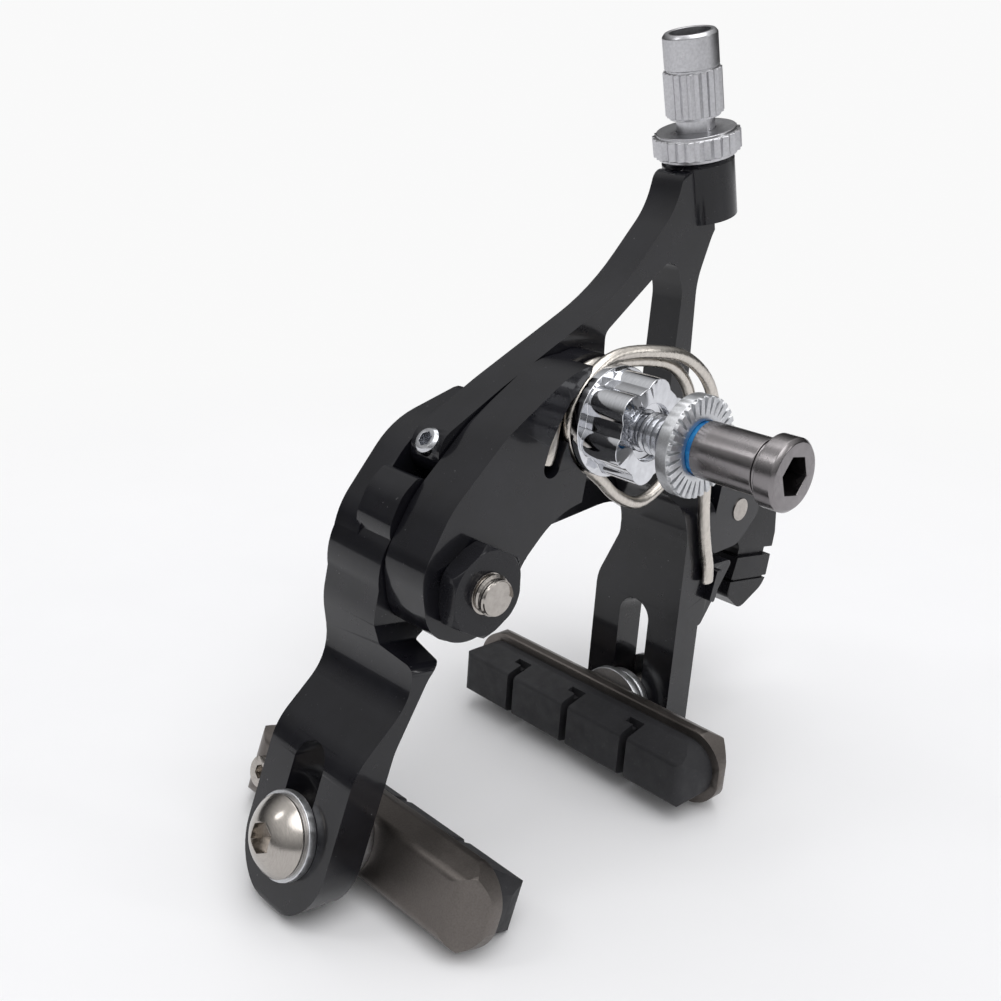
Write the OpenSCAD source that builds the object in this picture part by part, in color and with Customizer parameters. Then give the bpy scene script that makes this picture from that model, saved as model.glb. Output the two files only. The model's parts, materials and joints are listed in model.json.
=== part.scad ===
// Dual-pivot caliper brake in the open position, seen upright as on the bicycle.
// Origin: on the axis of the centre bolt, at the face that seats on the frame.
// X runs across the wheel (the cable side is +X), Y runs forward away from the
// frame, and Z points up.

/* [Frame bolt] */
// Thread diameter of the centre bolt
bolt_d = 6; // [5:0.1:6.6]
// How far the thread reaches behind the seat face
bolt_rear = 16; // [12:0.5:18]
// Diameter of the sleeve nut's shank
sleeve_d = 8; // [7.4:0.1:8.6]
// Length of the sleeve nut's shank
sleeve_l = 10.8; // [8:0.2:14]
// Diameter of the sleeve nut's head
sleeve_head_d = 10; // [9:0.2:12]
// Length of the sleeve nut's head
sleeve_head_l = 3; // [2:0.2:5]
// Hexagon socket across flats, in the sleeve nut
sleeve_hex = 5; // [4:0.5:6]
// Distance from the seat face to the serrated washer's toothed face
washer_back = 8.9; // [7:0.1:10]
// Outside diameter of the serrated washer
washer_d = 14.4; // [12:0.2:18]
// Thickness of the serrated washer
washer_t = 2.4; // [1.6:0.1:3]
// Number of teeth on the serrated washer
washer_teeth = 30; // [16:1:36]

/* [Lobed seat nut] */
// Diameter over the lobes
lobe_nut_d = 15.4; // [14:0.2:18]
// Length of the lobed stretch
lobe_nut_l = 6.5; // [5:0.5:7]
// Diameter of the round flange
flange_d = 16.4; // [15:0.2:18]
// Number of lobes
lobes = 6; // [5:1:8]

/* [Bracket] */
// Thickness of the bracket plate
bracket_t = 8; // [6:0.5:8]
// Sideways place of the side pivot
side_x = -22; // [-23:0.5:-21.5]
// Height of the side pivot
side_z = -23.3; // [-24:0.1:-23]
// Radius of the bracket's boss at the centre bolt
hub_r = 8.9; // [8:0.1:9.5]
// Radius of the bracket's boss at the side pivot
side_r = 8.2; // [7:0.1:8.4]
// Diameter of the side pivot's shank
pivot_d = 6; // [5:0.1:6.6]

/* [Arms] */
// Thickness of the Y-shaped arm in its own plane
y_arm_t = 6; // [5:0.25:6.5]
// Thickness of the C-shaped arm where it crosses in front
c_arm_t = 5.4; // [4.4:0.2:6]
// Running gap between the faces of neighbouring arms
face_gap = 0.3; // [0.2:0.05:0.4]
// Radius of the pivot bores beyond the pins that turn in them
pivot_clear = 0.05; // [0.02:0.01:0.1]
// Width of the legs from back to front
leg_w = 18.3; // [16:0.1:19]
// Thickness of the legs
leg_t = 6; // [5:0.25:6.5]
// Width of the slots for the shoe bolts
slot_w = 6.4; // [5.8:0.1:7]
// Lean of the right leg in the open position
lean_right = 8; // [6:0.5:9]
// Lean of the left leg in the open position
lean_left = 10; // [8:0.5:11]

/* [Barrel adjuster] */
// Lean of the adjuster's axis towards the wheel
barrel_lean = 25; // [22:0.5:28]
// Diameter of the smooth top
barrel_top_d = 8.4; // [7.4:0.1:9]
// Diameter over the knurl of the lower stretch
barrel_grip_d = 9; // [8:0.1:9.6]
// Diameter of the hole for the cable housing
housing_d = 6.2; // [5.4:0.1:6.6]
// Depth of the hole for the cable housing
housing_depth = 9; // [6:0.5:10]
// Diameter of the knurled ring
ring_d = 13.8; // [12:0.2:15]
// Height of the knurled ring
ring_h = 4; // [3:0.25:5]

/* [Shoes] */
// Length of a shoe's holder
shoe_l = 55; // [50:0.5:56]
// Height of the holder
shoe_h = 12.6; // [11:0.2:13.4]
// Depth of the metal holder
holder_t = 5.2; // [4:0.2:6]
// Depth of rubber that stands out of the holder
rubber_t = 6.8; // [5:0.2:7.6]
// Height of the braking face
face_h = 7.2; // [6:0.2:8.4]
// Diameter of the shoe bolt's domed head
shoe_head_d = 11.4; // [10:0.2:13]

/* [Quick release] */
// Sideways place of the lever's axle
lever_x = 41.8; // [41.6:0.1:42.4]
// Height of the lever's axle
lever_z = -16; // [-16.6:0.1:-15.4]
// Diameter of the lever's axle
lever_pin_d = 4; // [3.4:0.1:5]
// Length of the lever below its axle
lever_l = 16; // [14:0.5:20]

/* [Spring] */
// Diameter of the spring wire
wire_d = 2.1; // [1.8:0.1:2.3]

/* [Hidden] */

fine = 48;
coarse = 32;

// The plates from back to front
bracket_y = lobe_nut_l + 1.5;
y_arm_y = bracket_y + bracket_t + face_gap;
c_arm_y = y_arm_y + y_arm_t + face_gap;
c_arm_front = c_arm_y + c_arm_t;
leg_y = 17.2;
leg_back = leg_y - leg_w / 2;
leg_front = leg_y + leg_w / 2;
bush_t = 0.8;
flange_t = bracket_y - lobe_nut_l - 0.1;
thread_depth = 0.45;
neck_r = 5.8;

// Where each shoe bolt crosses the inner face of its leg
right_foot = [30.6, -52.5];
left_foot = [-34, -62];
leg_end_r = leg_w / 2;

// Washers between shoe and leg, and under the bolt's head
stand_off = 4;
rim_t = 1.4;

// The adjuster's head on the arm, at the underside of the ring
head_top = [23.2, y_arm_y + y_arm_t / 2, 40.1];
head_d = 11.4;
head_l = 9.6;
stem_d = 6;

// Set screw that centres the shoes, and the lug that it bears on
screw_d = 4;
screw_l = 11;
screw_axis = -30;
screw_boss = [-21, -7.5];
lug_r = 2.5;
lug_gap = 0.25;

function unit(v) = v / norm(v);

// A corner of an outline rounded with radius r, no larger than its sides allow
function corner(a, b, c, r, n) =
    let (u = unit(a - b), v = unit(c - b), half = acos(max(-1, min(1, u * v))) / 2,
         reach = 0.49 * min(norm(a - b), norm(c - b)),
         rr = min(r, reach * tan(half)),
         m = b + unit(u + v) * rr / sin(half), p = b + u * rr / tan(half),
         q = b + v * rr / tan(half),
         s = atan2(p[1] - m[1], p[0] - m[0]), e = atan2(q[1] - m[1], q[0] - m[0]),
         turn = (e - s + 540) % 360 - 180)
    [for (k = [0:n]) m + rr * [cos(s + turn * k / n), sin(s + turn * k / n)]];

// An outline through corners given as [across, up, radius]
module rounded(points, n = 6) {
    count = len(points);
    polygon([for (i = [0:count - 1])
        let (a = points[(i + count - 1) % count], b = points[i], c = points[(i + 1) % count])
        each corner([a[0], a[1]], [b[0], b[1]], [c[0], c[1]], b[2], n)]);
}

// A flat shape drawn in X and Z, given depth from y0 forward to y1
module deep(y0, y1) {
    translate([0, y1, 0]) rotate([90, 0, 0]) linear_extrude(y1 - y0) children();
}

// A flat shape drawn in Y and Z, given width from x0 to x1
module wide(x0, x1) {
    translate([x0, 0, 0]) rotate([90, 0, 90]) linear_extrude(x1 - x0) children();
}

// A round bar along Y
module bar(x, z, y0, y1, d, fn = fine) {
    translate([x, y1, z]) rotate([90, 0, 0]) cylinder(d = d, h = y1 - y0, $fn = fn);
}

// A hexagon along Y, with a chamfer towards the back or the front
module hex_bar(x, z, y0, y1, flats, turn = 0) {
    corner_d = flats / cos(30);
    intersection() {
        translate([x, y1, z]) rotate([90, turn, 0]) cylinder(d = corner_d, h = y1 - y0, $fn = 6);
        translate([x, y1, z]) rotate([90, 0, 0]) union() {
            cylinder(d1 = flats * 1.02, d2 = corner_d, h = 0.6, $fn = fine);
            translate([0, 0, 0.6]) cylinder(d = corner_d, h = y1 - y0 - 1.2, $fn = fine);
            translate([0, 0, y1 - y0 - 0.6])
                cylinder(d1 = corner_d, d2 = flats * 1.02, h = 0.6, $fn = fine);
        }
    }
}

// The fixing at the frame

// The ridges of the threads that show are fine detail; what shows here is their core
module centre_bolt() {
    front = c_arm_y + 8.4;
    color("silver") {
        bar(0, 0, -bolt_rear, -washer_back - 0.6, bolt_d);
        bar(0, 0, -washer_back - 0.7, 1.3, bolt_d - thread_depth * 2);
        bar(0, 0, 1.2, front - 2.2, bolt_d);
        bar(0, 0, front - 2.3, front, bolt_d - thread_depth * 2);
    }
}

module thread_lock_patch() {
    color("royalblue") difference() {
        bar(0, 0, -washer_back - 0.7, -washer_back + 1.5, bolt_d + 1.4);
        bar(0, 0, -washer_back - 1, -washer_back + 2, bolt_d);
    }
}

module lobed_seat_nut() {
    valley_r = lobe_nut_d / 2 * 0.86;
    bump_r = lobe_nut_d / 2 * 0.34;
    color("gainsboro") difference() {
        union() {
            bar(0, 0, 0, lobe_nut_l + 0.2, valley_r * 2);
            for (i = [0:lobes - 1]) {
                a = 360 / lobes * i + 90;
                bar(cos(a) * (lobe_nut_d / 2 - bump_r), sin(a) * (lobe_nut_d / 2 - bump_r),
                    0, lobe_nut_l + 0.2, bump_r * 2, coarse);
            }
            bar(0, 0, lobe_nut_l, lobe_nut_l + flange_t, flange_d);
        }
        bar(0, 0, -1, 1.2, bolt_d + 2.4);
        bar(0, 0, -1, bracket_y + 1, bolt_d);
    }
}

module serrated_washer() {
    tooth_h = 0.55;
    root_r = washer_d / 2 - 2.5;
    step = 360 / washer_teeth;
    color("lightgray") difference() {
        union() {
            bar(0, 0, -washer_back + tooth_h, -washer_back + washer_t, washer_d);
            deep(-washer_back, -washer_back + tooth_h + 0.1)
                polygon([for (i = [0:washer_teeth - 1]) each [
                    root_r * [cos(step * (i - 0.42)), sin(step * (i - 0.42))],
                    (washer_d / 2 - 0.1) * [cos(step * (i - 0.26)), sin(step * (i - 0.26))],
                    (washer_d / 2 - 0.1) * [cos(step * (i + 0.26)), sin(step * (i + 0.26))],
                    root_r * [cos(step * (i + 0.42)), sin(step * (i + 0.42))]]]);
        }
        bar(0, 0, -washer_back - 1, -washer_back + washer_t + 1, bolt_d + 1.8);
    }
}

module sleeve_nut() {
    neck = -washer_back - 0.75;
    head = neck - sleeve_l;
    color("dimgray") difference() {
        union() {
            bar(0, 0, head + 1.1, neck, sleeve_d);
            bar(0, 0, head, head + 1.1, sleeve_d - 0.6);
            bar(0, 0, head - sleeve_head_l + 0.5, head, sleeve_head_d);
            translate([0, head - sleeve_head_l + 0.5, 0]) rotate([90, 0, 0])
                cylinder(d1 = sleeve_head_d, d2 = sleeve_head_d - 1, h = 0.5, $fn = fine);
        }
        bar(0, 0, -bolt_rear - 0.3, neck + 1, bolt_d);
        translate([0, -bolt_rear, 0]) rotate([90, 0, 0])
            cylinder(d = sleeve_hex / cos(30), h = 12, $fn = 6);
    }
}

// The bracket and what is fixed to it

module bracket() {
    color([0.08, 0.08, 0.09]) difference() {
        union() {
            deep(bracket_y, bracket_y + bracket_t) rounded([
                [2, hub_r + 0.3, 3], [-9, hub_r - 2, 14], [-20, -2.5, 18], [-28, -12.5, 16],
                [side_x - side_r - 1.4, side_z + 2, 7], [side_x - 6.5, side_z - side_r + 0.6, 6],
                [side_x + 7, side_z - side_r + 0.4, 6], [-13, -21, 8], [-7.5, -14, 14],
                [5, -hub_r - 1, 5], [hub_r - 1, -3, 5]]);
            bar(0, 0, bracket_y, bracket_y + bracket_t, hub_r * 2);
            bar(side_x, side_z, bracket_y, bracket_y + bracket_t, side_r * 2);
        }
        bar(0, 0, bracket_y - 1, bracket_y + bracket_t + 1, bolt_d);
        bar(side_x, side_z, bracket_y - 1, bracket_y + bracket_t + 1, pivot_d);
        deep(bracket_y - 1, bracket_y + spring_room) spring_channel();
        spring_recess();
    }
}

// Depth of the room for the spring in the bracket's rear face
spring_room = wire_d * 2 + 0.2;

// The room round the hub's neck for the spring's two turns, open to the right
module spring_recess() {
    deep(bracket_y - 1, bracket_y + spring_room) difference() {
        union() {
            circle(r = hub_r - 0.3, $fn = fine);
            translate([-2.5, -13]) square([16, 26]);
            translate([-5.6, 4]) square([10, 9]);
        }
        circle(r = neck_r, $fn = fine);
    }
}

// The channel in the bracket's rear face that holds the spring's fixed end
module spring_channel() {
    w = wire_d * 1.3 + 0.4;
    for (i = [0:2]) {
        a = [spring_knots[i][0], spring_knots[i][2]];
        b = [spring_knots[i + 1][0], spring_knots[i + 1][2]];
        translate((a + b) / 2) rotate(atan2(b[1] - a[1], b[0] - a[0]))
            slot_shape(w, norm(b - a));
    }
}

// A slot outline of width w, between end centres that lie len apart
module slot_shape(w, len) {
    translate([-len / 2, 0]) circle(d = w, $fn = coarse);
    translate([len / 2, 0]) circle(d = w, $fn = coarse);
    square([len, w], center = true);
}

module side_pivot_bolt() {
    head = c_arm_front + 0.2;
    color("silver") difference() {
        union() {
            bar(side_x, side_z, bracket_y - 5.2, bracket_y - 3, pivot_d - thread_depth * 2);
            bar(side_x, side_z, bracket_y - 3.2, head + 0.3, pivot_d);
            bar(side_x, side_z, head, head + 3.4, 10.6);
            translate([side_x, head + 4.2, side_z]) rotate([90, 0, 0])
                cylinder(d1 = 9, d2 = 10.6, h = 0.8, $fn = fine);
        }
        translate([side_x, head + 5, side_z]) rotate([90, 0, 0])
            cylinder(d = 5 / cos(30), h = 3.4, $fn = 6);
    }
}

module side_pivot_nut() {
    color([0.1, 0.1, 0.11]) difference() {
        hex_bar(side_x, side_z, bracket_y - 3.2, bracket_y, 12, 20);
        bar(side_x, side_z, bracket_y - 5, bracket_y + 1, pivot_d);
    }
}

module front_washer() {
    color("silver") difference() {
        bar(0, 0, c_arm_y - 0.1, c_arm_y + 0.9, 12);
        bar(0, 0, c_arm_y - 1, c_arm_y + 2, bolt_d);
    }
}

module front_nut() {
    color("silver") difference() {
        hex_bar(0, 0, c_arm_y + 0.9, c_arm_y + 6, 10, 0);
        bar(0, 0, c_arm_y, c_arm_y + 7, bolt_d);
    }
}

// The spring's centre line: from its fixed end in the bracket's slot, in behind the
// flange, a long turn to the right and back, round the neck again, and out to the leg
outer_y = bracket_y - wire_d / 2 - 0.1;
first_y = bracket_y + wire_d * 1.5 - 0.05;
second_y = bracket_y + wire_d / 2 - 0.05;
slot_y = bracket_y + wire_d / 2 + 0.2;
catch_y = leg_back - wire_d * 0.5 - 0.1;
spring_knots = [
    [-10.3, slot_y, -7], [-9.9, slot_y, -4.4], [-9, slot_y + 0.9, -1.6], [-7.5, first_y, 1.6],
    [-5.3, first_y, 5.1], [-1.8, first_y, 7.3], [3, first_y - 0.2, 8],
    [9, first_y - 0.8, 8.6], [15, first_y - 1.4, 8], [19.8, first_y - 1.8, 4.2],
    [21, first_y - 2, -2], [18.4, first_y - 2.1, -9], [12.6, second_y, -13.2],
    [6.4, second_y, -12], [2, second_y, -9.4], [-2.6, second_y, -6.8],
    [-6.2, second_y, -3.7], [-7.2, second_y, 0.4], [-5.4, second_y, 4.8],
    [-1.8, second_y, 8.1], [2.2, second_y - 0.4, 9.7], [7.6, outer_y + 0.5, 10.4],
    [13.4, outer_y, 10], [19.4, outer_y, 7.4], [23.2, outer_y, 3.4],
    [24.6, outer_y, -2], [25.6, outer_y, -9], [27.3, outer_y, -15.4],
    [29.6, catch_y, -20.6], [31.9, catch_y, -25], [32.8, catch_y, -28.4]];

// A point between the second and third of four knots on a smooth curve
function between(a, b, c, d, t) =
    b + t / 2 * (c - a) + t * t / 2 * (2 * a - 5 * b + 4 * c - d)
    + t * t * t / 2 * (3 * b - a - 3 * c + d);

spring_last = len(spring_knots) - 1;
spring_steps = 4;
spring_path = [for (i = [0:spring_last - 1]) for (k = [0:spring_steps - 1])
    between(spring_knots[max(i - 1, 0)], spring_knots[i], spring_knots[i + 1],
        spring_knots[min(i + 2, spring_last)], k / spring_steps)];

// A round wire swept along a list of points, hammered flat at both ends
module wire(path, d, flat = 9, sides = 8) {
    n = len(path);
    function press(i) = max(0, 1 - min(i, n - 1 - i) / flat);
    tangent = [for (i = [0:n - 1]) unit(path[min(i + 1, n - 1)] - path[max(i - 1, 0)])];
    rings = [for (i = [0:n - 1])
        let (t = tangent[i], u = unit(cross(t, [0, 1, 0.02])), v = cross(t, u),
             p = press(i))
        for (k = [0:sides - 1])
            path[i] + d / 2 * (cos(360 * k / sides) * (1 + 0.3 * p) * u
                + sin(360 * k / sides) * (1 - 0.25 * p) * v)];
    polyhedron(rings, concat(
        [[for (k = [0:sides - 1]) k]],
        [for (i = [0:n - 2]) for (k = [0:sides - 1])
            [i * sides + k, (i + 1) * sides + k, (i + 1) * sides + (k + 1) % sides,
             i * sides + (k + 1) % sides]],
        [[for (k = [sides - 1:-1:0]) (n - 1) * sides + k]]));
}

module return_spring() {
    color([0.75, 0.72, 0.68]) wire(spring_path, wire_d);
}

// A point beside a leg: u outwards from its inner face, v up along it
function right_at(u, v) = right_foot + u * [cos(lean_right), sin(lean_right)]
    + v * [-sin(lean_right), cos(lean_right)];
function left_at(u, v) = left_foot + u * [-cos(lean_left), sin(lean_left)]
    + v * [sin(lean_left), cos(lean_left)];
function with_r(p, r) = [p[0], p[1], r];

// The arm that carries the cable's barrel adjuster and the right shoe

y_arm_outline = [
    [17.2, 37.5, 2], [16.6, 31, 30], [7, 17.2, 40], [-14, 2.7, 60], [-25.6, -6, 4.2],
    [-21.5, -12.2, 4.2], [-12.5, -6.5, 6], [-5, -6.5, 3], [9, -8.5, 4], [22, -12.5, 6],
    with_r(right_at(0, 33), 8), with_r(right_at(0, 19), 20), with_r(right_at(0, -13), 1.5),
    with_r(right_at(leg_t, -13), 1.5), with_r(right_at(leg_t, 19), 20), [33, -18, 12],
    [30.5, -4, 20], [27.8, 9.5, 20], [25.6, 21, 12], [27.4, 29.5, 8], [31.5, 34.5, 2]];

// Seen from the side the arm is a plate above and a broad leg below
y_arm_side = [
    [y_arm_y, 50, 0.5], [y_arm_y + y_arm_t, 50, 0.5], [y_arm_y + y_arm_t, -23, 4],
    [leg_front, -32, 8], [leg_front, right_foot[1] - 2 - leg_end_r, 12],
    [leg_back, right_foot[1] - 2 - leg_end_r, 12], [leg_back, -15, 3], [y_arm_y, -9.5, 3]];

module y_arm_window() {
    rounded([[18.6, 24.6, 2.6], [22.4, 19, 6], [24.9, -2, 2], [10.5, -4, 2], [9.9, 3, 3],
        [6.2, 8.2, 2], [5.6, 11.4, 2]]);
}

// The adjuster's axis: children stand on its line, with up along the barrel
module on_barrel_axis() {
    translate(head_top) rotate([0, -barrel_lean, 0]) children();
}

// The screw's axis in the end of the short branch, with up towards its socket
module on_screw_axis() {
    translate([screw_boss[0], y_arm_y + y_arm_t / 2, screw_boss[1]])
        rotate([0, screw_axis - 30, 0]) children();
}

module y_arm() {
    color([0.09, 0.09, 0.1]) difference() {
        union() {
            intersection() {
                deep(leg_back - 1, leg_front + 1) rounded(y_arm_outline);
                wide(-40, 60) rounded(y_arm_side, 12);
            }
            bar(0, 0, y_arm_y, y_arm_y + y_arm_t, 18);
            on_barrel_axis() {
                translate([0, 0, -head_l]) cylinder(d = head_d, h = head_l - 0.8, $fn = fine);
                translate([0, 0, -0.8])
                    cylinder(d1 = head_d, d2 = head_d - 1.6, h = 0.8, $fn = fine);
            }
            spring_catch();
        }
        deep(0, 40) y_arm_window();
        translate([-40, 0, -30]) cube([40, y_arm_y, 40]);
        bar(0, 0, 0, 40, bolt_d + 2 * bush_t + 2 * pivot_clear);
        on_barrel_axis() translate([0, 0, -30])
            cylinder(d = stem_d + 2 * pivot_clear, h = 40, $fn = fine);
        on_screw_axis() translate([0, 0, -12]) cylinder(d = screw_d, h = 24, $fn = coarse);
        translate([0, 0, -1]) wide(20, 50) translate([leg_y + 0.1, -45]) rotate(90)
            slot_shape(slot_w, 18.2);
    }
}

// A gusset on the back of the leg, with a raised edge that the spring pushes outwards
module spring_catch() {
    deep(leg_back, leg_back + 4)
        rounded([[30, -23.4, 0.4], [35.2, -25, 0.6], [40.8, -24.4, 0.8], [34.9, -36, 1],
            [31, -36, 0.4]]);
    deep(leg_back - 1.5, leg_back + 1)
        rounded([[34.5, -25.6, 0.4], [36.2, -25.6, 0.4], [35.4, -31.4, 0.4], [34, -31, 0.4]]);
}

module y_arm_bush() {
    color([0.62, 0.48, 0.25]) difference() {
        bar(0, 0, y_arm_y, y_arm_y + y_arm_t, bolt_d + 2 * bush_t + 2 * pivot_clear);
        bar(0, 0, y_arm_y - 1, y_arm_y + y_arm_t + 1, bolt_d + 2 * pivot_clear);
    }
}

module centring_screw() {
    color("silver") on_screw_axis() difference() {
        union() {
            translate([0, 0, -7]) cylinder(d = screw_d, h = screw_l - 0.4, $fn = coarse);
            translate([0, 0, screw_l - 7.4])
                cylinder(d1 = screw_d, d2 = screw_d - 0.8, h = 0.4, $fn = coarse);
        }
        translate([0, 0, screw_l - 9.5]) cylinder(d = 2 / cos(30), h = 4, $fn = 6);
    }
}

// The arm that carries the cable clamp and the left shoe

c_arm_front_shape = [
    [-8.5, 2, 2.5], [-9.5, -7, 4], [-3, -13.6, 6], [8, -12.3, 12], [24, -8.5, 10], [36, -9.6, 4],
    [lever_x + 4.7, lever_z + 6.5, 5], [lever_x + 5.8, lever_z - 3, 5],
    [lever_x - 0.8, lever_z - 6.6, 4], [lever_x - 6.8, lever_z - 5.5, 5], [24, -16.8, 14],
    [2, -22.5, 20], [-14, -27.5, 8], [-26.8, -35, 6], with_r(left_at(0, 16), 10),
    with_r(left_at(0, -11), 1.5), with_r(left_at(leg_t, -11), 1.5),
    with_r(left_at(leg_t, 13), 10), [-29.6, -38.5, 8], [-31.3, -30, 12], [-31, -17.5, 12],
    [-23.5, -5, 14]];

// Seen from the side: a plate that passes in front, the pivot's boss, the broad leg
c_arm_side = [
    [c_arm_front, 10, 0.5], [c_arm_front, -32, 12], [leg_front, -42, 12],
    [leg_front, left_foot[1] - 0.3 - leg_end_r, 12], [leg_back, left_foot[1] - 0.3 - leg_end_r, 12],
    [leg_back, -34.2, 1.5], [bracket_y + bracket_t - 0.8, -33.4, 0.6],
    [y_arm_y, -31, 0.5], [y_arm_y, -24, 1], [c_arm_y, -22, 1], [c_arm_y, 10, 0.5]];

module c_arm() {
    color([0.09, 0.09, 0.1]) difference() {
        union() {
            intersection() {
                deep(leg_back - 1, c_arm_front + 1) rounded(c_arm_front_shape);
                wide(-60, 60) rounded(c_arm_side, 12);
            }
            bar(side_x, side_z, y_arm_y, c_arm_front, 19.2);
            deep(y_arm_y, c_arm_y + 1)
                rounded([[-26.7, -9.6, 1.2], [-24.6, -12.6, 1.5], [-22, -16, 1], [-28, -22, 1],
                    [-31.4, -18, 4], [-29.6, -12.6, 6]]);
            bar(lug_at[0], lug_at[1], y_arm_y + 0.7, c_arm_y + 1, lug_r * 2, coarse);
            lever_ears();
        }
        bar(side_x, side_z, 0, 40, pivot_d + 2 * bush_t + 2 * pivot_clear);
        bar(lever_x, lever_z, 0, axle_end, lever_pin_d);
        bar(lever_x, lever_z, c_arm_y - 0.6, 40, cam_d + 2 * pivot_clear);
        translate([0, 0, -1]) wide(-60, -20) translate([leg_y + 0.1, -56]) rotate(90)
            slot_shape(slot_w, 12.4);
    }
}

// Where the lug meets the screw's tip, a small gap beyond it
lug_at = screw_boss + (7 + lug_gap + lug_r) * [sin(60), -cos(60)];
cam_d = 9;
ear_y = 9.5;
ear_t = 2.5;
axle_end = 17;

// The web and the rear ear that carry the lever's axle
module lever_ears() {
    translate([lever_x, 0, lever_z]) {
        deep(ear_y, c_arm_y + 1)
            rounded([[-7, 6.2, 1.5], [-4.2, 6.4, 0.5], [-4.2, -6.6, 0.5], [-5.6, -7.8, 1],
                [-7, -6, 1]]);
        deep(ear_y, ear_y + ear_t)
            rounded([[-7, 6.2, 1.5], [3.7, 6, 4], [6.4, -0.5, 3], [1.6, -6.4, 4],
                [-5.6, -7.8, 1.5], [-7, -6, 1]]);
    }
}

module c_arm_bush() {
    color([0.62, 0.48, 0.25]) difference() {
        bar(side_x, side_z, y_arm_y, c_arm_front, pivot_d + 2 * bush_t + 2 * pivot_clear);
        bar(side_x, side_z, 0, 40, pivot_d + 2 * pivot_clear);
    }
}

// The quick release and the cable clamp that it carries

lever_y = ear_y + ear_t + face_gap;

module quick_release_axle() {
    color("silver") bar(lever_x, lever_z, ear_y - 0.2, axle_end, lever_pin_d);
}

lever_t = 6.6;

// Seen from behind: a hub on the axle, a knuckle beside it and a grip that hangs down
module lever_outline() {
    translate([lever_x, lever_z])
        rounded([[-1.5, 3.6, 2], [6, 2.6, 4], [15.5, 2.4, 5], [18, -6, 3], [18.2, -lever_l, 4],
            [11.4, -lever_l - 4.6, 2.5], [6.4, -lever_l - 1.6, 1.5], [7.6, -8.6, 3],
            [3.4, -5, 4], [-3.4, -2.4, 2]], 8);
}

// A groove round the grip at this height below the axle
module grip_groove(down, width, depth) {
    difference() {
        translate([lever_x + 5, lever_y - 1, lever_z - down]) cube([16, lever_t + 2, width]);
        translate([lever_x + 7.6 + depth, lever_y + depth, lever_z - down - 1])
            cube([10.2 - 2 * depth, lever_t - 2 * depth, width + 2]);
    }
}

module quick_release_lever() {
    color([0.1, 0.1, 0.11]) difference() {
        union() {
            bar(lever_x, lever_z, lever_y, c_arm_y - face_gap, 7.6);
            bar(lever_x, lever_z, c_arm_y - face_gap, c_arm_front + 0.4, cam_d);
            bar(lever_x, lever_z, c_arm_front + face_gap, c_arm_front + face_gap + 2, 12);
            deep(lever_y, lever_y + lever_t) lever_outline();
        }
        bar(lever_x, lever_z, 0, axle_end + 0.3, lever_pin_d + 2 * pivot_clear);
        grip_groove(10.4, 1.6, 0.9);
        grip_groove(15, 0.5, 0.35);
        bar(clamp_at[0], clamp_at[1], c_arm_y, 40, clamp_bolt_d);
    }
}

// The clamp bolt stands off the lever's axis, so that turning it slackens the cable
clamp_at = [lever_x + 1.2, lever_z - 0.6];
clamp_bolt_d = 5;
clamp_y = c_arm_front + face_gap + 2;

module cable_clamp_plate() {
    color("silver") difference() {
        deep(clamp_y, clamp_y + 2) translate(clamp_at)
            rounded([[-5.6, -4.6, 1.5], [6.2, -4.6, 1.5], [6.2, 5, 1.5], [-5.6, 5, 1.5]]);
        bar(clamp_at[0], clamp_at[1], 0, 40, clamp_bolt_d);
        translate([clamp_at[0] + 4.2, clamp_y, clamp_at[1] - 8])
            cylinder(d = 1.7, h = 16, $fn = coarse);
    }
}

module cable_clamp_bolt() {
    head_y = clamp_y + 2;
    color("silver") difference() {
        union() {
            bar(clamp_at[0], clamp_at[1], c_arm_y + 0.4, head_y + 0.2, clamp_bolt_d);
            bar(clamp_at[0], clamp_at[1], head_y, head_y + 0.8, 9);
            hex_bar(clamp_at[0], clamp_at[1], head_y + 0.6, head_y + 4.4, 8, 12);
        }
        translate([clamp_at[0], head_y + 5, clamp_at[1]]) rotate([90, 0, 0])
            cylinder(d = 4 / cos(30), h = 3.2, $fn = 6);
    }
}

// The barrel adjuster

ring_gap = 0.1;

// A round bar along the axis with n straight grooves round it
module knurled(d, h, n, depth) {
    linear_extrude(h) polygon([for (k = [0:2 * n - 1])
        (d / 2 - (k % 2) * depth) * [cos(180 * k / n), sin(180 * k / n)]]);
}

module adjuster_ring() {
    color([0.12, 0.12, 0.13]) on_barrel_axis() difference() {
        union() {
            translate([0, 0, ring_gap]) cylinder(d = ring_d - 1.4, h = ring_h, $fn = fine);
            translate([0, 0, ring_gap + 0.5]) knurled(ring_d, ring_h - 1, 26, 0.55);
        }
        translate([0, 0, -1]) cylinder(d = stem_d + 2 * pivot_clear, h = ring_h + 2, $fn = fine);
    }
}

barrel_top = 18.55;
grip_l = 12.5;

module adjuster_barrel() {
    grip = barrel_top - grip_l;
    color([0.14, 0.14, 0.15]) on_barrel_axis() difference() {
        union() {
            translate([0, 0, -head_l - 0.7]) cylinder(d = stem_d, h = head_l + 1 + grip, $fn = fine);
            translate([0, 0, grip + 0.4]) knurled(barrel_grip_d, 6.6, 22, 0.4);
            translate([0, 0, grip]) cylinder(d = barrel_grip_d - 1, h = 8, $fn = fine);
            translate([0, 0, grip + 7.4])
                cylinder(d = barrel_top_d, h = grip_l - 7.9, $fn = fine);
            translate([0, 0, barrel_top - 0.5])
                cylinder(d1 = barrel_top_d, d2 = barrel_top_d - 0.8, h = 0.5, $fn = fine);
        }
        translate([0, 0, barrel_top - housing_depth])
            cylinder(d = housing_d, h = housing_depth + 1, $fn = fine);
        translate([0, 0, -20]) cylinder(d = 3, h = 40, $fn = coarse);
    }
}

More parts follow.
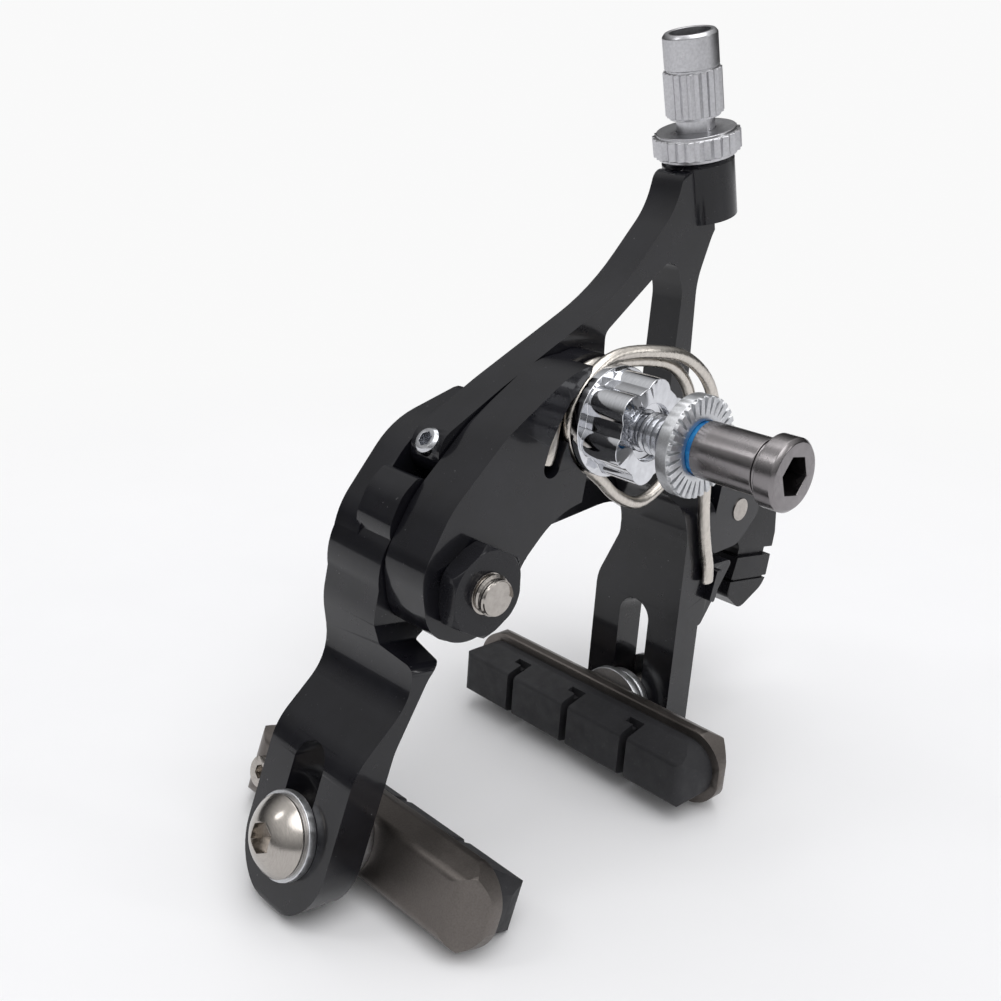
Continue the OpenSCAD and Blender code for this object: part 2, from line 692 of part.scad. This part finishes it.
// The shoes. Children of these stand with +X away from the wheel, from the leg's inner
// face, and Z up along the leg.
module at_right_shoe() {
    translate([right_foot[0], leg_y + 0.1, right_foot[1]]) rotate([0, -lean_right, 0]) children();
}

module at_left_shoe() {
    translate([left_foot[0], leg_y + 0.1, left_foot[1]]) rotate([0, lean_left, 0])
        mirror([1, 0, 0]) children();
}

shoe_bolt_d = 6;
holder_back = -stand_off;
holder_face = holder_back - holder_t;

// The outline of a shoe seen from the wheel, inset all round
module shoe_outline(inset) {
    l = shoe_l / 2 - inset;
    h = shoe_h / 2 - inset;
    rounded([[-l, -h, h * 1.6], [-l, h, h * 1.6], [l, h, h * 1.6], [l, -h, h * 1.6]], 12);
}

// A flat shape drawn in X and Y, given height from z0 to z1
module tall(z0, z1) {
    translate([0, 0, z0]) linear_extrude(z1 - z0) children();
}

// The metal holder: rounded ends, and sides and ends that draw in towards the leg
module shoe_holder() {
    h = shoe_h / 2;
    l = shoe_l / 2;
    knee = holder_face + 1.6;
    difference() {
        intersection() {
            wide(holder_face, holder_back) shoe_outline(0);
            deep(-l - 1, l + 1) rounded([[holder_face, -h, 0.3], [knee, -h, 1],
                [holder_back, -h + 1.9, 1.6], [holder_back, h - 1.9, 1.6], [knee, h, 1],
                [holder_face, h, 0.3]], 8);
            tall(-h - 1, h + 1) rounded([[holder_face, -l, 0.3], [knee, -l, 2],
                [holder_back, -l + 4.5, 4], [holder_back, l - 4.5, 4], [knee, l, 2],
                [holder_face, l, 0.3]], 8);
        }
        wide(holder_face - 1, holder_face + 1.8) shoe_outline(rim_t);
        rotate([0, -90, 0]) cylinder(d = shoe_bolt_d, h = -holder_face + 1, $fn = fine);
        translate([0, pad_screw_at, 0]) rotate([0, -90, 0])
            cylinder(d = 3, h = -holder_face + 1, $fn = coarse);
    }
}

pad_screw_at = shoe_l / 2 - 8;
groove_step = shoe_l * 0.236;
groove_w = 1.5;
groove_t = 4.4;

// The rubber: blocks between stepped grooves, on a base that sits in the holder
module brake_pad() {
    back = holder_face + 1.8;
    face = holder_face - rubber_t;
    base = shoe_h / 2 - rim_t;
    l = shoe_l / 2 - rim_t;
    difference() {
        intersection() {
            wide(face, back) shoe_outline(rim_t);
            deep(-shoe_l, shoe_l) rounded([[back + 1, -base, 0.3], [holder_face - 1.6, -base, 1],
                [face, -face_h / 2, 0.8], [face, face_h / 2, 0.8], [holder_face - 1.6, base, 1],
                [back + 1, base, 0.3]], 6);
            tall(-shoe_h, shoe_h) rounded([[back + 1, -l, 0.3], [holder_face - 1.6, -l, 1],
                [face, -l + 1.6, 1.6], [face, l - 1.6, 1.6], [holder_face - 1.6, l, 1],
                [back + 1, l, 0.3]], 6);
        }
        for (y = [-groove_step, 0, groove_step]) {
            translate([face - 1, y - groove_w / 2, -shoe_h])
                cube([groove_t + 1, groove_w, 2 * shoe_h]);
            translate([face + groove_t - 1.2, y - groove_w / 2, base - 1.6])
                cube([1.2, groove_w + 1.6, shoe_h]);
        }
    }
}

module pad_screw() {
    difference() {
        union() {
            translate([holder_back + 1.6, pad_screw_at, 0]) rotate([0, -90, 0])
                cylinder(d = 4.8, h = 1.6, $fn = fine);
            translate([holder_back + 0.1, pad_screw_at, 0]) rotate([0, -90, 0])
                cylinder(d = 3, h = holder_t - 2, $fn = coarse);
        }
        translate([holder_back + 2.6, pad_screw_at, 0]) rotate([0, -90, 0])
            cylinder(d = 2 / cos(30), h = 2.2, $fn = 6);
    }
}

module shoe_bolt() {
    head = leg_t + 1.3;
    rise = 3.1;
    r = shoe_head_d / 2;
    ball = (r * r + rise * rise) / (2 * rise);
    translate([holder_face + 2, 0, 0]) rotate([0, 90, 0])
        cylinder(d = shoe_bolt_d, h = head - holder_face - 1.9, $fn = fine);
    difference() {
        translate([head, 0, 0]) rotate([0, 90, 0]) rotate_extrude($fn = fine)
            polygon([[0, 0], [r, 0], [r, 0.7], for (k = [1:8])
                let (a = asin((r - 0.2) / ball) * (1 - k / 8))
                [ball * sin(a), 0.6 + rise - ball * (1 - cos(a))]]);
        translate([head + rise - 1.9, 0, 0]) rotate([0, 90, 0])
            cylinder(d = 4 / cos(30), h = 4, $fn = 6);
    }
}

// A dished and a domed washer inside the leg, and a flat one under the bolt's head
module shoe_washers() {
    difference() {
        union() {
            translate([-stand_off, 0, 0]) rotate([0, 90, 0]) cylinder(d = 13, h = 1.2, $fn = fine);
            translate([-stand_off + 1.2, 0, 0]) rotate([0, 90, 0])
                cylinder(d1 = 13, d2 = 12, h = 0.8, $fn = fine);
            translate([-stand_off + 2, 0, 0]) rotate([0, 90, 0])
                cylinder(d1 = 8.4, d2 = 11, h = 0.8, $fn = fine);
            translate([-stand_off + 2.8, 0, 0]) rotate([0, 90, 0])
                cylinder(d = 11, h = stand_off - 2.8, $fn = fine);
            translate([leg_t, 0, 0]) rotate([0, 90, 0]) cylinder(d = 12.4, h = 1.3, $fn = fine);
        }
        translate([-stand_off - 1, 0, 0]) rotate([0, 90, 0])
            cylinder(d = shoe_bolt_d, h = 20, $fn = fine);
    }
}

module right_shoe_holder() color([0.1, 0.1, 0.1]) at_right_shoe() shoe_holder();
module right_brake_pad() color([0.06, 0.06, 0.06]) at_right_shoe() brake_pad();
module right_pad_screw() color("silver") at_right_shoe() pad_screw();
module right_shoe_bolt() color("silver") at_right_shoe() shoe_bolt();
module right_shoe_washers() color("gray") at_right_shoe() shoe_washers();
module left_shoe_holder() color([0.1, 0.1, 0.1]) at_left_shoe() shoe_holder();
module left_brake_pad() color([0.06, 0.06, 0.06]) at_left_shoe() brake_pad();
module left_pad_screw() color("silver") at_left_shoe() pad_screw();
module left_shoe_bolt() color("silver") at_left_shoe() shoe_bolt();
module left_shoe_washers() color("gray") at_left_shoe() shoe_washers();

bracket();
centre_bolt();
lobed_seat_nut();
serrated_washer();
sleeve_nut();
thread_lock_patch();
side_pivot_bolt();
side_pivot_nut();
return_spring();
front_washer();
front_nut();
y_arm();
y_arm_bush();
centring_screw();
right_shoe_holder();
right_brake_pad();
right_pad_screw();
right_shoe_bolt();
right_shoe_washers();
c_arm();
c_arm_bush();
left_shoe_holder();
left_brake_pad();
left_pad_screw();
left_shoe_bolt();
left_shoe_washers();
quick_release_lever();
quick_release_axle();
cable_clamp_plate();
cable_clamp_bolt();
adjuster_ring();
adjuster_barrel();
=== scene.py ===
import json
import math

import bpy
from mathutils import Matrix, Vector


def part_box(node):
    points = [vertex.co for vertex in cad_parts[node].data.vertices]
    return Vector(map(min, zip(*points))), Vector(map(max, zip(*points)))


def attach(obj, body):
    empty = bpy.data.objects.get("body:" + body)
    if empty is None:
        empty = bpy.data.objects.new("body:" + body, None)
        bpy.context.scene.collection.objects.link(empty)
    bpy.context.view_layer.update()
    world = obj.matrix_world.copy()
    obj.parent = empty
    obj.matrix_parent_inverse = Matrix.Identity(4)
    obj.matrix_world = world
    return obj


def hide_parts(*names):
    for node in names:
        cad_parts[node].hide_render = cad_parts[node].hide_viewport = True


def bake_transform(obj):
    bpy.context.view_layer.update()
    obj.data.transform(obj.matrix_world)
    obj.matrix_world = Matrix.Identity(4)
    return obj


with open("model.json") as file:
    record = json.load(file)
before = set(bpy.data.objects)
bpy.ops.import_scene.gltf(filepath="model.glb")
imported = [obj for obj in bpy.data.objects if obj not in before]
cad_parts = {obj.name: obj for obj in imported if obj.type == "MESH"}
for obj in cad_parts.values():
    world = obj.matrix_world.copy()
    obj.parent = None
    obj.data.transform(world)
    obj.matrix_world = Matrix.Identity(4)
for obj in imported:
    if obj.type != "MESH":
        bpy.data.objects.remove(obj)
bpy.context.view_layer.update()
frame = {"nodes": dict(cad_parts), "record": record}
MM = 0.001
EVEN = (1, 1, 1)


# Materials: each takes its detail from noise in the object's own metres

def shader(name):
    """A new material, its node tree and its main shader."""
    material = bpy.data.materials.new(name)
    material.use_nodes = True
    tree = material.node_tree
    return material, tree, tree.nodes["Principled BSDF"]


def noise(tree, size, stretch=EVEN, detail=4):
    """Noise whose features are about size millimetres across, divided by stretch along each axis."""
    coords = tree.nodes.new("ShaderNodeTexCoord")
    mapping = tree.nodes.new("ShaderNodeMapping")
    mapping.inputs["Scale"].default_value = stretch
    texture = tree.nodes.new("ShaderNodeTexNoise")
    texture.inputs["Scale"].default_value = 1 / (size * MM)
    texture.inputs["Detail"].default_value = detail
    texture.inputs["Roughness"].default_value = 0.55
    tree.links.new(coords.outputs["Object"], mapping.inputs["Vector"])
    tree.links.new(mapping.outputs["Vector"], texture.inputs["Vector"])
    return texture.outputs["Fac"]


def ramp(tree, value, stops):
    """value turned into a colour through stops of (place, colour)."""
    node = tree.nodes.new("ShaderNodeValToRGB")
    ends = node.color_ramp.elements
    while len(ends) < len(stops):
        ends.new(0.5)
    for element, (place, colour) in zip(ends, stops):
        element.position = place
        element.color = (*colour, 1)
    tree.links.new(value, node.inputs["Fac"])
    return node.outputs["Color"]


def spread(tree, value, low, high, start=0.3, end=0.7):
    """value, from start to end, turned into a number from low to high."""
    node = tree.nodes.new("ShaderNodeMapRange")
    for socket, number in (("From Min", start), ("From Max", end), ("To Min", low), ("To Max", high)):
        node.inputs[socket].default_value = number
    tree.links.new(value, node.inputs["Value"])
    return node.outputs["Result"]


def mixed(tree, factor, a, b):
    """Colour a where factor is 0 and b where it is 1; each is a colour or a socket."""
    node = tree.nodes.new("ShaderNodeMix")
    node.data_type = "RGBA"
    tree.links.new(factor, node.inputs["Factor"])
    for socket, colour in ((node.inputs[6], a), (node.inputs[7], b)):
        if isinstance(colour, tuple):
            socket.default_value = (*colour, 1)
        else:
            tree.links.new(colour, socket)
    return node.outputs[2]


def bumps(tree, bsdf, layers):
    """Layers of (height socket, depth in millimetres, strength) on the shader's normal."""
    normal = None
    for height, depth, strength in layers:
        node = tree.nodes.new("ShaderNodeBump")
        node.inputs["Strength"].default_value = strength
        node.inputs["Distance"].default_value = depth * MM
        tree.links.new(height, node.inputs["Height"])
        if normal:
            tree.links.new(normal, node.inputs["Normal"])
        normal = node.outputs["Normal"]
    tree.links.new(normal, bsdf.inputs["Normal"])


def painted(name, dark, light, rough, coat):
    """Black paint or anodising over metal: soft mottling, fine grain, a few rubbed specks."""
    material, tree, bsdf = shader(name)
    mottle = ramp(tree, noise(tree, 9), [(0.3, dark), (0.7, light)])
    specks = spread(tree, noise(tree, 0.5, detail=2), 0, 0.35, 0.73, 0.8)
    tree.links.new(mixed(tree, specks, mottle, (0.3, 0.3, 0.31)), bsdf.inputs["Base Color"])
    tree.links.new(spread(tree, noise(tree, 3), rough - 0.05, rough + 0.08), bsdf.inputs["Roughness"])
    bsdf.inputs["Specular IOR Level"].default_value = 0.12
    bsdf.inputs["Coat Weight"].default_value = coat
    bsdf.inputs["Coat Roughness"].default_value = 0.09
    ripple = noise(tree, 2.2)
    pores = noise(tree, 0.25, detail=3)
    bumps(tree, bsdf, [(ripple, 0.015, 0.2), (pores, 0.008, 0.3)])
    return material


def metal(name, colour, rough, stretch, size=0.5, smudge=0.08, depth=0.006):
    """Bare metal with tool marks that run across the stretched axis, and handling smudges."""
    material, tree, bsdf = shader(name)
    marks = noise(tree, size, stretch, detail=5)
    clouds = noise(tree, 4)
    darker = tuple(c * 0.82 for c in colour)
    tree.links.new(ramp(tree, marks, [(0.3, darker), (0.65, colour)]), bsdf.inputs["Base Color"])
    tree.links.new(spread(tree, clouds, rough, rough + smudge), bsdf.inputs["Roughness"])
    bsdf.inputs["Metallic"].default_value = 1
    bumps(tree, bsdf, [(marks, depth, 0.4)])
    return material


def rubber(name):
    """Moulded brake rubber: matt, finely pebbled, with pale dust in its grain."""
    material, tree, bsdf = shader(name)
    body = ramp(tree, noise(tree, 6), [(0.3, (0.009, 0.009, 0.011)), (0.7, (0.018, 0.018, 0.021))])
    dust = spread(tree, noise(tree, 0.6, detail=3), 0, 0.25, 0.62, 0.82)
    tree.links.new(mixed(tree, dust, body, (0.1, 0.1, 0.1)), bsdf.inputs["Base Color"])
    tree.links.new(spread(tree, noise(tree, 2), 0.55, 0.72), bsdf.inputs["Roughness"])
    bumps(tree, bsdf, [(noise(tree, 0.35, detail=3), 0.03, 0.5)])
    return material


def thread_lock(name):
    """The dried blue coating on the thread, uneven and slightly shiny."""
    material, tree, bsdf = shader(name)
    lumps = noise(tree, 0.7)
    blues = ramp(tree, lumps, [(0.3, (0.005, 0.09, 0.32)), (0.7, (0.02, 0.27, 0.62))])
    tree.links.new(blues, bsdf.inputs["Base Color"])
    tree.links.new(spread(tree, lumps, 0.35, 0.6), bsdf.inputs["Roughness"])
    bumps(tree, bsdf, [(lumps, 0.08, 0.6)])
    return material


# Tool marks that run round the Y axis or the X axis
ROUND_Y = (0.6, 9, 0.6)
ROUND_X = (9, 0.6, 0.6)
MATERIALS = {
    "black_paint": painted("black_paint", (0.0035, 0.0035, 0.005), (0.008, 0.008, 0.011), 0.3, 0.6),
    "grey_holder": metal("grey_holder", (0.19, 0.172, 0.16), 0.38, EVEN, 0.25, 0.12, 0.01),
    "black_lever": painted("black_lever", (0.004, 0.004, 0.005), (0.009, 0.009, 0.011), 0.28, 0.25),
    "black_steel": painted("black_steel", (0.006, 0.006, 0.008), (0.014, 0.014, 0.017), 0.26, 0.3),
    "bare_aluminium": metal("bare_aluminium", (0.55, 0.55, 0.57), 0.27, EVEN, 0.4, 0.08),
    "chrome": metal("chrome", (0.7, 0.71, 0.74), 0.06, ROUND_Y, 0.8, 0.06, 0.002),
    "bright_steel": metal("bright_steel", (0.6, 0.61, 0.64), 0.2, ROUND_Y),
    "nickel_steel": metal("nickel_steel", (0.46, 0.43, 0.4), 0.17, ROUND_Y),
    "shoe_steel": metal("shoe_steel", (0.46, 0.43, 0.4), 0.17, ROUND_X),
    "satin_steel": metal("satin_steel", (0.27, 0.255, 0.26), 0.2, ROUND_Y, 0.6, 0.1),
    "zinc_steel": metal("zinc_steel", (0.66, 0.67, 0.69), 0.34, EVEN, 0.3, 0.1, 0.015),
    "spring_wire": metal("spring_wire", (0.66, 0.62, 0.57), 0.24, (1, 1, 0.3), 0.5, 0.1, 0.01),
    "brass": metal("brass", (0.62, 0.46, 0.2), 0.28, ROUND_Y),
    "rubber": rubber("rubber"),
    "blue_patch": thread_lock("blue_patch"),
}

# The shoes' bolts and screws are turned about the X axis, and so are their marks
ACROSS = ("right_shoe_bolt", "left_shoe_bolt", "right_pad_screw", "left_pad_screw")


def wear_materials():
    """Each CAD node takes the material of its slot in the record."""
    for part in frame["record"]["subparts"]:
        node = frame["nodes"][part["node"]]
        slot = "shoe_steel" if part["node"] in ACROSS else part["material_slot"]
        node.data.materials.clear()
        node.data.materials.append(MATERIALS[slot])


# The sharp edges of these nodes are broken by this many millimetres
EDGES = {
    "y_arm": 0.55, "c_arm": 0.55, "bracket": 0.5, "lobed_seat_nut": 0.45, "serrated_washer": 0.06,
    "sleeve_nut": 0.25, "side_pivot_bolt": 0.3, "side_pivot_nut": 0.25, "front_nut": 0.2,
    "front_washer": 0.15, "centring_screw": 0.15, "right_shoe_holder": 0.4, "left_shoe_holder": 0.4,
    "right_brake_pad": 0.35, "left_brake_pad": 0.35, "quick_release_lever": 0.5,
    "cable_clamp_plate": 0.25, "cable_clamp_bolt": 0.2, "adjuster_ring": 0.12,
    "adjuster_barrel": 0.12, "right_shoe_washers": 0.15, "left_shoe_washers": 0.15,
    "right_shoe_bolt": 0.1, "left_shoe_bolt": 0.1, "right_pad_screw": 0.15, "left_pad_screw": 0.15,
    "quick_release_axle": 0.2, "centre_bolt": 0.2,
}


def smooth_and_weld(piece):
    """Shades a piece smooth and joins its split corners."""
    for polygon in piece.data.polygons:
        polygon.use_smooth = True
    weld = piece.modifiers.new("weld", "WELD")
    weld.merge_threshold = 0.002 * MM


def break_edges(name, width):
    """Rounds a node's sharp edges."""
    node = frame["nodes"][name]
    smooth_and_weld(node)
    bevel = node.modifiers.new("bevel", "BEVEL")
    bevel.width = width * MM
    bevel.segments = 2
    bevel.limit_method = "ANGLE"
    bevel.angle_limit = math.radians(32)
    bevel.use_clamp_overlap = True
    flatten = node.modifiers.new("flatten", "WEIGHTED_NORMAL")
    flatten.weight = 90
    flatten.keep_sharp = False


def round_spring():
    """The spring's eight-sided wire made round, in a copy that takes the place of the hidden CAD
    node.
    """
    node = frame["nodes"]["return_spring"]
    piece = bpy.data.objects.new("round_spring", node.data.copy())
    piece.matrix_world = node.matrix_world
    bpy.context.scene.collection.objects.link(piece)
    smooth_and_weld(piece)
    rounding = piece.modifiers.new("rounding", "SUBSURF")
    rounding.levels = 2
    rounding.render_levels = 2
    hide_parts("return_spring")
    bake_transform(piece)


# Both threads are M6: millimetres a turn, the ridge's height as a share of that, and how far
# its foot lies below its sides; STEPS is how many pieces a turn is made of
PITCH, HEIGHT, SUNK = 1.0, 0.54, 0.1
STEPS = 28


def thread(name, start, length, crest, body, slot):
    """A helical ridge round a bolt along Y, as a closed mesh. Sizes are in millimetres."""
    root = crest - HEIGHT * PITCH
    foot = root - SUNK
    profile = [(root, -0.47), (crest, -0.1), (crest, 0.1), (root, 0.47), (foot, 0)]
    count = int(length / PITCH * STEPS)
    verts, faces = [], []
    for i in range(count + 1):
        angle = math.tau * i / STEPS
        fade = min(1, i / STEPS, (count - i) / STEPS)
        for radius, along in profile:
            r = foot + (radius - foot) * fade
            x = start[0] + r * math.cos(angle)
            y = start[1] + PITCH * (i / STEPS + along)
            z = start[2] + r * math.sin(angle)
            verts.append(Vector((x, y, z)) * MM)
    n = len(profile)
    for i in range(count):
        for k in range(n):
            a, b = i * n + k, i * n + (k + 1) % n
            faces.append((a, b, b + n, a + n))
    faces.append(tuple(range(n - 1, -1, -1)))
    faces.append(tuple(range(count * n, count * n + n)))
    mesh = bpy.data.meshes.new(name)
    mesh.from_pydata(verts, [], faces)
    mesh.validate()
    piece = bpy.data.objects.new(name, mesh)
    bpy.context.scene.collection.objects.link(piece)
    mesh.materials.append(MATERIALS[slot])
    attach(piece, body)


wear_materials()
thread("centre_bolt_thread", (0, -9.5, 0), 10.5, 3.0, "bracket", "bright_steel")
thread("side_pivot_thread", (-22, 2.9, -23.3), 2.2, 3.0, "bracket", "nickel_steel")
for name, width in EDGES.items():
    break_edges(name, width)
round_spring()


# The studio

CAMERA_YAW, CAMERA_PITCH, CAMERA_ROLL = (math.radians(a) for a in (-46.49, 12.9, 9.89))
CAMERA_PLACE = Vector((-132.33, -99.17, 24.3)) * MM
SENSOR = 36
# The fitted focal length and the photograph's width, both in its pixels
CAMERA_FOCUS = 1184.5 / 1001 * SENSOR

# The backdrop's brightness, and how far out in metres the floor starts and ends turning into it
BACKDROP = 0.95
FADE_START, FADE_END = 0.12, 0.3
# Half the floor's side in metres, and how far it lies under the shoes
FLOOR_HALF, FLOOR_DROP = 3, 0.4 * MM
# The direction of the bright part of the surround: up, and a little to the camera's side
BRIGHT = Vector((-0.35, -0.15, 0.92)).normalized()


def camera():
    """The photograph's view: yaw, pitch and roll about the object's own frame."""
    back = Vector((math.sin(CAMERA_YAW) * math.cos(CAMERA_PITCH),
                   -math.cos(CAMERA_YAW) * math.cos(CAMERA_PITCH), math.sin(CAMERA_PITCH)))
    level = Vector((math.cos(CAMERA_YAW), math.sin(CAMERA_YAW), 0))
    upright = back.cross(level)
    right = math.cos(CAMERA_ROLL) * level + math.sin(CAMERA_ROLL) * upright
    up = -math.sin(CAMERA_ROLL) * level + math.cos(CAMERA_ROLL) * upright
    data = bpy.data.cameras.new("camera")
    data.sensor_width = SENSOR
    data.lens = CAMERA_FOCUS
    data.clip_start = 0.01
    eye = bpy.data.objects.new("camera", data)
    rotation = Matrix((right, up, back)).transposed()
    eye.matrix_world = Matrix.Translation(CAMERA_PLACE) @ rotation.to_4x4()
    bpy.context.scene.collection.objects.link(eye)
    bpy.context.scene.camera = eye
    return right, up


def floor():
    """A pale floor that both shoes stand on; away from them it turns into the backdrop."""
    low_left, high_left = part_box("left_shoe_holder")
    low_right, high_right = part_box("right_shoe_holder")
    left = Vector(((low_left.x + high_left.x) / 2, 0, low_left.z))
    right = Vector(((low_right.x + high_right.x) / 2, 0, low_right.z))
    slope = math.atan2(right.z - left.z, right.x - left.x)
    mesh = bpy.data.meshes.new("floor")
    corners = [(x * FLOOR_HALF, y * FLOOR_HALF, 0) for x, y in ((-1, -1), (1, -1), (1, 1), (-1, 1))]
    mesh.from_pydata(corners, [], [(0, 1, 2, 3)])
    plane = bpy.data.objects.new("floor", mesh)
    bpy.context.scene.collection.objects.link(plane)
    middle = (left + right) / 2 - Vector((0, 0, FLOOR_DROP))
    plane.matrix_world = Matrix.Translation(middle) @ Matrix.Rotation(-slope, 4, "Y")
    material, tree, bsdf = shader("floor")
    cloud = ramp(tree, noise(tree, 60), [(0.3, (0.87, 0.87, 0.885)), (0.7, (0.89, 0.89, 0.905))])
    tree.links.new(cloud, bsdf.inputs["Base Color"])
    bsdf.inputs["Roughness"].default_value = 0.9
    bsdf.inputs["Specular IOR Level"].default_value = 0.1
    coords = tree.nodes.new("ShaderNodeTexCoord")
    reach = tree.nodes.new("ShaderNodeVectorMath")
    reach.operation = "LENGTH"
    tree.links.new(coords.outputs["Object"], reach.inputs[0])
    path = tree.nodes.new("ShaderNodeLightPath")
    far = tree.nodes.new("ShaderNodeMath")
    far.operation = "MULTIPLY"
    tree.links.new(spread(tree, reach.outputs["Value"], 0, 1, FADE_START, FADE_END), far.inputs[0])
    tree.links.new(path.outputs["Is Camera Ray"], far.inputs[1])
    glow = tree.nodes.new("ShaderNodeEmission")
    glow.inputs["Strength"].default_value = BACKDROP
    blend = tree.nodes.new("ShaderNodeMixShader")
    tree.links.new(far.outputs[0], blend.inputs["Fac"])
    tree.links.new(bsdf.outputs[0], blend.inputs[1])
    tree.links.new(glow.outputs[0], blend.inputs[2])
    tree.links.new(blend.outputs[0], tree.nodes["Material Output"].inputs["Surface"])
    mesh.materials.append(material)


def lamp(name, place, target, size, power):
    """A soft box at place that faces target."""
    data = bpy.data.lights.new(name, "AREA")
    data.shape = "RECTANGLE"
    data.size, data.size_y = size
    data.energy = power
    light = bpy.data.objects.new(name, data)
    aim = (Vector(target) - Vector(place)).to_track_quat("-Z", "Y")
    light.matrix_world = Matrix.Translation(place) @ aim.to_matrix().to_4x4()
    bpy.context.scene.collection.objects.link(light)


def sun(direction, strength, softness):
    """Even light over the whole floor, with a soft shadow."""
    data = bpy.data.lights.new("sun", "SUN")
    data.energy = strength
    data.angle = math.radians(softness)
    light = bpy.data.objects.new("sun", data)
    light.rotation_euler = Vector(direction).to_track_quat("-Z", "Y").to_euler()
    bpy.context.scene.collection.objects.link(light)


def sky(lit, seen):
    """An even pale surround; gloss sees it bright above and on the camera's side, dark elsewhere."""
    world = bpy.data.worlds.new("studio")
    world.use_nodes = True
    bpy.context.scene.world = world
    tree = world.node_tree

    def background(colour, strength):
        node = tree.nodes.new("ShaderNodeBackground")
        node.inputs["Strength"].default_value = strength
        if isinstance(colour, tuple):
            node.inputs["Color"].default_value = (*colour, 1)
        else:
            tree.links.new(colour, node.inputs["Color"])
        return node.outputs[0]

    def choose(factor, a, b):
        node = tree.nodes.new("ShaderNodeMixShader")
        tree.links.new(factor, node.inputs["Fac"])
        tree.links.new(a, node.inputs[1])
        tree.links.new(b, node.inputs[2])
        return node.outputs[0]

    path = tree.nodes.new("ShaderNodeLightPath")
    direction = tree.nodes.new("ShaderNodeTexCoord")
    along = tree.nodes.new("ShaderNodeVectorMath")
    along.operation = "DOT_PRODUCT"
    along.inputs[1].default_value = BRIGHT
    tree.links.new(direction.outputs["Generated"], along.inputs[0])
    height = spread(tree, along.outputs["Value"], 0, 1, -1, 1)
    greys = [(0.45, 0.03), (0.6, 0.1), (0.74, 0.5), (0.9, 1)]
    glow = ramp(tree, height, [(place, (grey,) * 3) for place, grey in greys])
    plain = background((1, 1, 1), lit)
    gloss = choose(path.outputs["Is Glossy Ray"], plain, background(glow, 0.85))
    backdrop = background((1, 1, 1), seen)
    shown = choose(path.outputs["Is Camera Ray"], gloss, backdrop)
    shown = choose(path.outputs["Is Transmission Ray"], shown, backdrop)
    tree.links.new(shown, tree.nodes["World Output"].inputs["Surface"])


view_right, view_up = camera()
floor()
sky(0.55, BACKDROP)
sun((0.35, 0.45, -1), 1.3, 50)
key_place = CAMERA_PLACE + view_up * 0.3 - view_right * 0.3
side_place = CAMERA_PLACE + view_right * 0.4 + view_up * 0.1
lamp("key", key_place, (0, 0, 0), (0.07, 0.14), 0.13)
lamp("side", side_place, (0, 0, -0.02), (0.04, 0.2), 0.12)
lamp("top", (0.02, 0.12, 0.42), (0, 0, 0), (0.3, 0.2), 0.3)
bpy.context.scene.view_settings.view_transform = "Standard"
